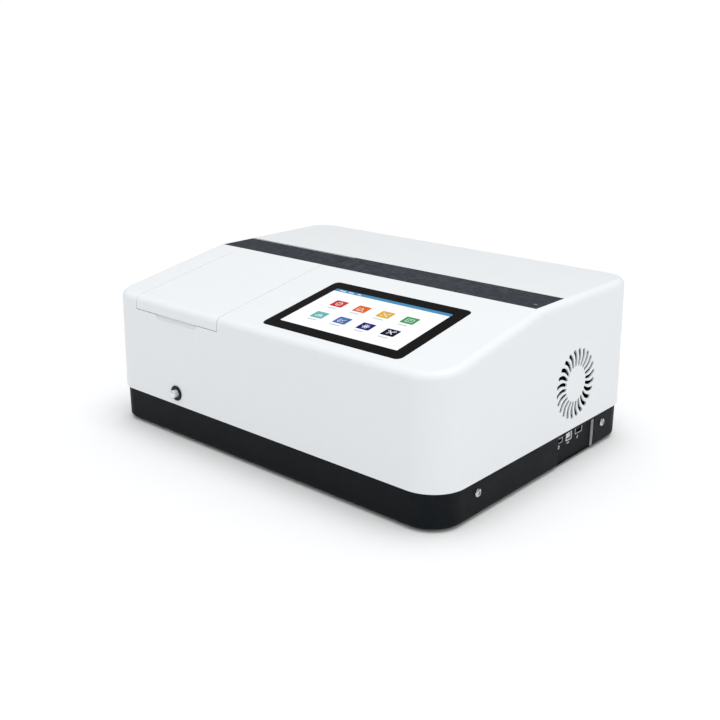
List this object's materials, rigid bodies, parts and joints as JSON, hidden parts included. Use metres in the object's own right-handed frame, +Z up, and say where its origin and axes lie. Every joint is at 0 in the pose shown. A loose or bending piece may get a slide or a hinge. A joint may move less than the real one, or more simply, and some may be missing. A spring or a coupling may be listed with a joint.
{
  "type": "spectrophotometer",
  "caption": "Benchtop spectrophotometer: white wedge-fronted cover on a black tray, sloping touch screen, hinged sample lid, cuvette changer on a pull rod, fan grille, side sockets.",
  "frame": {"origin": "on the bench, under the middle of the instrument with its pull knob", "axes": "+X to the user's right, +Y from the front to the back, +Z up"},
  "size_m": [0.475, 0.3608, 0.1836],
  "materials": {
    "cover_white": "satin moulded white",
    "tray_black": "fine-textured black paint",
    "strip_slate": "satin slate grey",
    "screen_black": "black-backed cover glass",
    "display": "lit display",
    "black_anodised": "matt black anodised",
    "black_plastic": "moulded black",
    "motor_steel": "black",
    "bright_steel": "plated",
    "knob_chrome": "polished",
    "foot_rubber": "matt",
    "bare_aluminium": "milled and folded sheet",
    "mirror_coat": "front-coated",
    "lamp_glass": "fused silica",
    "board_green": "solder-resist green"
  },
  "bodies": {
    "housing": {"base_tray": "tray_black", "top_cover": "cover_white", "name_strip": "strip_slate", "screen_glass": "screen_black", "lcd_module": "display", "sample_well": "black_anodised", "guide_rail_left": "bright_steel", "guide_rail_right": "bright_steel", "rod_collar": "black_plastic", "hinge_channel": "black_anodised", "hinge_pin": "bright_steel", "hinge_bracket_left": "bright_steel", "hinge_bracket_right": "bright_steel", "connector_panel": "bare_aluminium", "usb_a_port": "bright_steel", "usb_b_port": "bright_steel", "service_port": "bright_steel", "power_inlet": "black_plastic", "fuse_drawer": "black_plastic", "switch_frame": "black_plastic", "foot_front_left": "foot_rubber", "foot_front_right": "foot_rubber", "foot_back_left": "foot_rubber", "foot_back_right": "foot_rubber", "side_screw_front_left": "bright_steel", "side_screw_back_left": "bright_steel", "side_screw_front_right": "bright_steel", "side_screw_back_right": "bright_steel", "fan_frame": "black_plastic", "optical_bench": "bare_aluminium", "monochromator_housing": "black_anodised", "entrance_slit": "bright_steel", "exit_slit": "bright_steel", "entry_fold_mirror": "mirror_coat", "exit_fold_mirror": "mirror_coat", "collimating_mirror": "mirror_coat", "focusing_mirror": "mirror_coat", "grating_motor": "motor_steel", "lamp_housing": "bare_aluminium", "deuterium_lamp": "lamp_glass", "tungsten_lamp": "lamp_glass", "filter_motor": "motor_steel", "detector_housing": "black_anodised", "main_board": "board_green", "power_supply": "bare_aluminium"},
    "lid": {"lid_shell": "cover_white", "hinge_rail": "strip_slate", "lid_liner": "black_plastic", "hinge_leaf_left": "bright_steel", "hinge_leaf_right": "bright_steel"},
    "changer": {"cuvette_carriage": "black_anodised", "pull_rod": "bright_steel", "pull_knob": "knob_chrome"},
    "fan": {"fan_rotor": "black_plastic"},
    "grating_turntable": {"grating_table": "bare_aluminium", "diffraction_grating": "mirror_coat"},
    "filters": {"filter_wheel": "black_anodised"},
    "lamp_selector": {"lamp_mirror": "mirror_coat"},
    "power_switch": {"power_rocker": "black_plastic"}
  },
  "joints": [
    {"name": "lid_hinge", "type": "hinge", "parent": "housing", "child": "lid", "pos_m": [-0.1265, 0.03651, 0.1786], "axis": [-1, 0, 0], "range_deg": [0, 78]},
    {"name": "changer_slide", "type": "slide", "parent": "housing", "child": "changer", "axis": [0, -1, 0], "range_m": [0, 0.057]},
    {"name": "fan_spin", "type": "hinge", "parent": "housing", "child": "fan", "pos_m": [0.219, 0.06076, 0.0898], "axis": [1, 0, 0], "continuous": true},
    {"name": "grating_turn", "type": "hinge", "parent": "housing", "child": "grating_turntable", "pos_m": [0.02775, -0.06259, 0.0755], "axis": [0, 0, 1], "range_deg": [-5, 40]},
    {"name": "filter_turn", "type": "hinge", "parent": "housing", "child": "filters", "pos_m": [0.12, -0.10209, 0.0755], "axis": [1, 0, 0], "continuous": true},
    {"name": "lamp_select", "type": "hinge", "parent": "housing", "child": "lamp_selector", "pos_m": [0.1545, -0.08859, 0.0755], "axis": [0, 0, 1], "range_deg": [0, 90]},
    {"name": "power_rock", "type": "hinge", "parent": "housing", "child": "power_switch", "pos_m": [0.15, 0.17426, 0.0215], "axis": [-1, 0, 0], "range_deg": [0, 20]}
  ]
}
